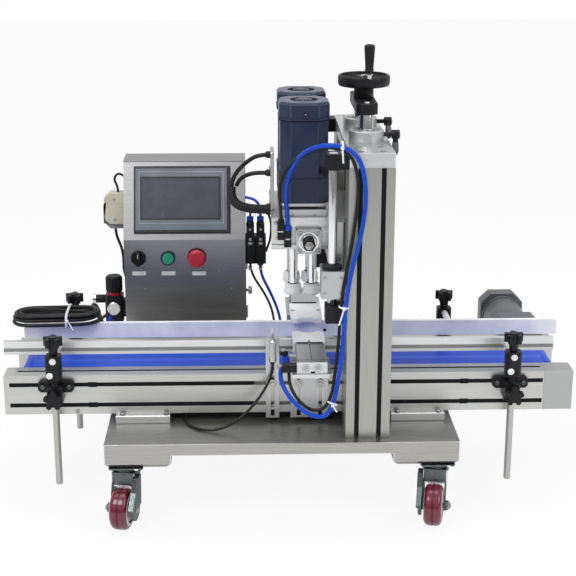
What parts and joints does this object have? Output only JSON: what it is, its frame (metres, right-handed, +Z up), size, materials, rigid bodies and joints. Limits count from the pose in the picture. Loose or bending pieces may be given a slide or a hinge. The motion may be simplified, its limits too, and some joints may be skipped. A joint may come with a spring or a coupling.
{
  "type": "bottle capping machine",
  "caption": "Castered bottle capping machine: belt conveyor with guide rails, side clamps, a height-set four-wheel capping head and a control box.",
  "frame": {"origin": "on the belt's top face, straight under the capping axis", "axes": "+X along the belt to the right as the operator sees it, +Y away from the operator, +Z up"},
  "size_m": [1.066, 0.7305, 0.844],
  "materials": {
    "brushed_stainless": "brushed stainless steel sheet",
    "anodised_aluminium": "clear anodised aluminium extrusion",
    "machined_aluminium": "machined aluminium plate",
    "blue_belt": "blue conveyor belt, satin",
    "motor_grey": "grey painted housing",
    "motor_navy": "dark blue painted housing",
    "black_plastic": "black moulded plastic",
    "white_plastic": "white plastic",
    "chrome_steel": "hard chromed shaft",
    "zinc_steel": "dark zinc plated steel",
    "maroon_tyre": "maroon polyurethane tread",
    "roller_steel": "turned steel",
    "screen_grey": "dark grey bezel and glass",
    "green_plastic": "green button cap",
    "red_plastic": "red button cap",
    "blue_hose": "blue polyurethane air hose",
    "black_cable": "black flexible sheath",
    "capping_rubber": "pale grey rubber capping wheel"
  },
  "bodies": {
    "frame": {"base_tray": "brushed_stainless", "conveyor_frame": "anodised_aluminium", "conveyor_belt": "blue_belt", "conveyor_feet": "anodised_aluminium", "caster_plates": "zinc_steel", "conveyor_gearmotor": "motor_grey", "columns": "anodised_aluminium", "top_plate": "machined_aluminium", "clamp_collars": "machined_aluminium", "guide_shafts": "chrome_steel", "guide_shaft_blocks": "black_plastic", "control_box": "brushed_stainless", "touch_screen": "screen_grey", "valve_bank": "black_plastic", "air_regulator": "black_plastic", "slotted_brackets": "machined_aluminium", "photo_sensor": "machined_aluminium", "clamp_cylinders": "machined_aluminium", "rail_clamp_bases": "black_plastic", "blue_air_hose": "blue_hose", "black_air_hose": "black_cable", "sensor_cable": "black_cable", "power_cord": "black_cable"},
    "front_left_caster": {"front_left_caster_fork": "zinc_steel"},
    "front_left_wheel": {"front_left_caster_wheel": "maroon_tyre"},
    "front_right_caster": {"front_right_caster_fork": "zinc_steel"},
    "front_right_wheel": {"front_right_caster_wheel": "maroon_tyre"},
    "rear_left_caster": {"rear_left_caster_fork": "zinc_steel"},
    "rear_left_wheel": {"rear_left_caster_wheel": "maroon_tyre"},
    "rear_right_caster": {"rear_right_caster_fork": "zinc_steel"},
    "rear_right_wheel": {"rear_right_caster_wheel": "maroon_tyre"},
    "drive_roller": {"drive_roller": "roller_steel"},
    "idler_roller": {"idler_roller": "roller_steel"},
    "head": {"head_beam": "machined_aluminium", "lift_posts": "chrome_steel", "lift_yoke": "black_plastic", "head_cylinder": "machined_aluminium", "head_cable_bundle": "black_cable"},
    "handwheel": {"handwheel": "black_plastic"},
    "grip": {"handwheel_grip": "black_plastic"},
    "front_lever": {"front_clamp_lever": "black_plastic"},
    "rear_lever": {"rear_clamp_lever": "black_plastic"},
    "front_carriage": {"front_carriage": "machined_aluminium", "front_motor": "motor_navy"},
    "rear_carriage": {"rear_carriage": "machined_aluminium", "rear_motor": "motor_navy"},
    "front_left_capping_wheel": {"front_left_capping_wheel": "capping_rubber"},
    "front_right_capping_wheel": {"front_right_capping_wheel": "capping_rubber"},
    "rear_left_capping_wheel": {"rear_left_capping_wheel": "capping_rubber"},
    "rear_right_capping_wheel": {"rear_right_capping_wheel": "capping_rubber"},
    "front_jaw": {"front_jaw": "white_plastic"},
    "rear_jaw": {"rear_jaw": "white_plastic"},
    "front_mounts": {"front_rail_mounts": "black_plastic"},
    "front_guide": {"front_guide_rail": "anodised_aluminium"},
    "rear_mounts": {"rear_rail_mounts": "black_plastic"},
    "rear_guide": {"rear_guide_rail": "white_plastic"},
    "selector": {"selector_switch": "black_plastic"},
    "green_button": {"green_button": "green_plastic"},
    "red_button": {"red_button": "red_plastic"},
    "regulator_knob": {"regulator_knob": "black_plastic"}
  },
  "joints": [
    {"name": "front_left_swivel", "type": "hinge", "parent": "frame", "child": "front_left_caster", "pos_m": [-0.324, -0.192, -0.15], "axis": [0, 0, 1], "continuous": true},
    {"name": "front_left_wheel_spin", "type": "hinge", "parent": "front_left_caster", "child": "front_left_wheel", "pos_m": [-0.33138, -0.22826, -0.212], "axis": [0.9799, -0.1994, 0], "continuous": true},
    {"name": "front_right_swivel", "type": "hinge", "parent": "frame", "child": "front_right_caster", "pos_m": [0.24, -0.192, -0.15], "axis": [0, 0, 1], "continuous": true},
    {"name": "front_right_wheel_spin", "type": "hinge", "parent": "front_right_caster", "child": "front_right_wheel", "pos_m": [0.23262, -0.22826, -0.212], "axis": [0.9799, -0.1994, 0], "continuous": true},
    {"name": "rear_left_swivel", "type": "hinge", "parent": "frame", "child": "rear_left_caster", "pos_m": [-0.324, 0.431, -0.15], "axis": [0, 0, 1], "continuous": true},
    {"name": "rear_left_wheel_spin", "type": "hinge", "parent": "rear_left_caster", "child": "rear_left_wheel", "pos_m": [-0.33138, 0.39474, -0.212], "axis": [0.9799, -0.1994, 0], "continuous": true},
    {"name": "rear_right_swivel", "type": "hinge", "parent": "frame", "child": "rear_right_caster", "pos_m": [0.24, 0.431, -0.15], "axis": [0, 0, 1], "continuous": true},
    {"name": "rear_right_wheel_spin", "type": "hinge", "parent": "rear_right_caster", "child": "rear_right_wheel", "pos_m": [0.23262, 0.39474, -0.212], "axis": [0.9799, -0.1994, 0], "continuous": true},
    {"name": "drive_roller_spin", "type": "hinge", "parent": "frame", "child": "drive_roller", "pos_m": [0.459, 0, -0.025], "axis": [0, 1, 0], "continuous": true},
    {"name": "idler_roller_spin", "type": "hinge", "parent": "frame", "child": "idler_roller", "pos_m": [-0.507, 0, -0.025], "axis": [0, 1, 0], "continuous": true},
    {"name": "head_lift", "type": "slide", "parent": "frame", "child": "head", "axis": [0, 0, 1], "range_m": [-0.015, 0.08], "deforming": ["blue_air_hose", "black_air_hose"]},
    {"name": "handwheel_turn", "type": "hinge", "parent": "head", "child": "handwheel", "pos_m": [0.112, 0, 0.526], "axis": [0, 0, 1], "range_deg": [-1350.6, 7200.6]},
    {"name": "grip_spin", "type": "hinge", "parent": "handwheel", "child": "grip", "pos_m": [0.11771, -0.0406, 0.56], "axis": [0, 0, 1], "continuous": true},
    {"name": "front_lever_turn", "type": "hinge", "parent": "frame", "child": "front_lever", "pos_m": [0.16, -0.068, 0.439], "axis": [1, 0, 0], "range_deg": [-90, 90]},
    {"name": "rear_lever_turn", "type": "hinge", "parent": "frame", "child": "rear_lever", "pos_m": [0.16, 0.068, 0.439], "axis": [1, 0, 0], "range_deg": [-90, 90]},
    {"name": "front_carriage_slide", "type": "slide", "parent": "head", "child": "front_carriage", "axis": [0, 1, 0], "range_m": [0, 0.01]},
    {"name": "rear_carriage_slide", "type": "slide", "parent": "head", "child": "rear_carriage", "axis": [0, 1, 0], "range_m": [-0.01001, 0]},
    {"name": "front_left_capping_wheel_spin", "type": "hinge", "parent": "front_carriage", "child": "front_left_capping_wheel", "pos_m": [-0.0175, -0.04, 0.2], "axis": [0, 0, 1], "continuous": true},
    {"name": "front_right_capping_wheel_spin", "type": "hinge", "parent": "front_carriage", "child": "front_right_capping_wheel", "pos_m": [0.0175, -0.04, 0.2], "axis": [0, 0, 1], "continuous": true},
    {"name": "rear_left_capping_wheel_spin", "type": "hinge", "parent": "rear_carriage", "child": "rear_left_capping_wheel", "pos_m": [-0.0175, 0.04, 0.2], "axis": [0, 0, 1], "continuous": true},
    {"name": "rear_right_capping_wheel_spin", "type": "hinge", "parent": "rear_carriage", "child": "rear_right_capping_wheel", "pos_m": [0.0175, 0.04, 0.2], "axis": [0, 0, 1], "continuous": true},
    {"name": "front_jaw_slide", "type": "slide", "parent": "frame", "child": "front_jaw", "axis": [0, 1, 0], "range_m": [0, 0.012]},
    {"name": "rear_jaw_slide", "type": "slide", "parent": "frame", "child": "rear_jaw", "axis": [0, 1, 0], "range_m": [-0.01201, 0]},
    {"name": "front_guide_height", "type": "slide", "parent": "frame", "child": "front_mounts", "axis": [0, 0, 1], "range_m": [-0.015, 0]},
    {"name": "front_guide_reach", "type": "slide", "parent": "front_mounts", "child": "front_guide", "axis": [0, 1, 0], "range_m": [-0.003, 0.015]},
    {"name": "rear_guide_height", "type": "slide", "parent": "frame", "child": "rear_mounts", "axis": [0, 0, 1], "range_m": [-0.015, 0]},
    {"name": "rear_guide_reach", "type": "slide", "parent": "rear_mounts", "child": "rear_guide", "axis": [0, 1, 0], "range_m": [-0.015, 0.015]},
    {"name": "selector_turn", "type": "hinge", "parent": "frame", "child": "selector", "pos_m": [-0.3325, 0.311, 0.107], "axis": [0, 1, 0], "range_deg": [-45, 45]},
    {"name": "green_button_press", "type": "slide", "parent": "frame", "child": "green_button", "axis": [0, 1, 0], "range_m": [0, 0.004], "stiffness_N_per_m": 600},
    {"name": "red_button_press", "type": "slide", "parent": "frame", "child": "red_button", "axis": [0, 1, 0], "range_m": [0, 0.004], "stiffness_N_per_m": 800},
    {"name": "regulator_knob_turn", "type": "hinge", "parent": "frame", "child": "regulator_knob", "pos_m": [-0.389, 0.34, 0.04], "axis": [0, 0, 1], "range_deg": [-540, 540]}
  ],
  "couplings": [
    {"joint": "idler_roller_spin", "follows": "drive_roller_spin", "ratio": 1},
    {"joint": "handwheel_turn", "follows": "head_lift", "rad_per_m": 1570.8},
    {"joint": "rear_carriage_slide", "follows": "front_carriage_slide", "ratio": -1},
    {"joint": "front_right_capping_wheel_spin", "follows": "front_left_capping_wheel_spin", "ratio": 1},
    {"joint": "rear_right_capping_wheel_spin", "follows": "rear_left_capping_wheel_spin", "ratio": 1},
    {"joint": "rear_jaw_slide", "follows": "front_jaw_slide", "ratio": -1}
  ]
}
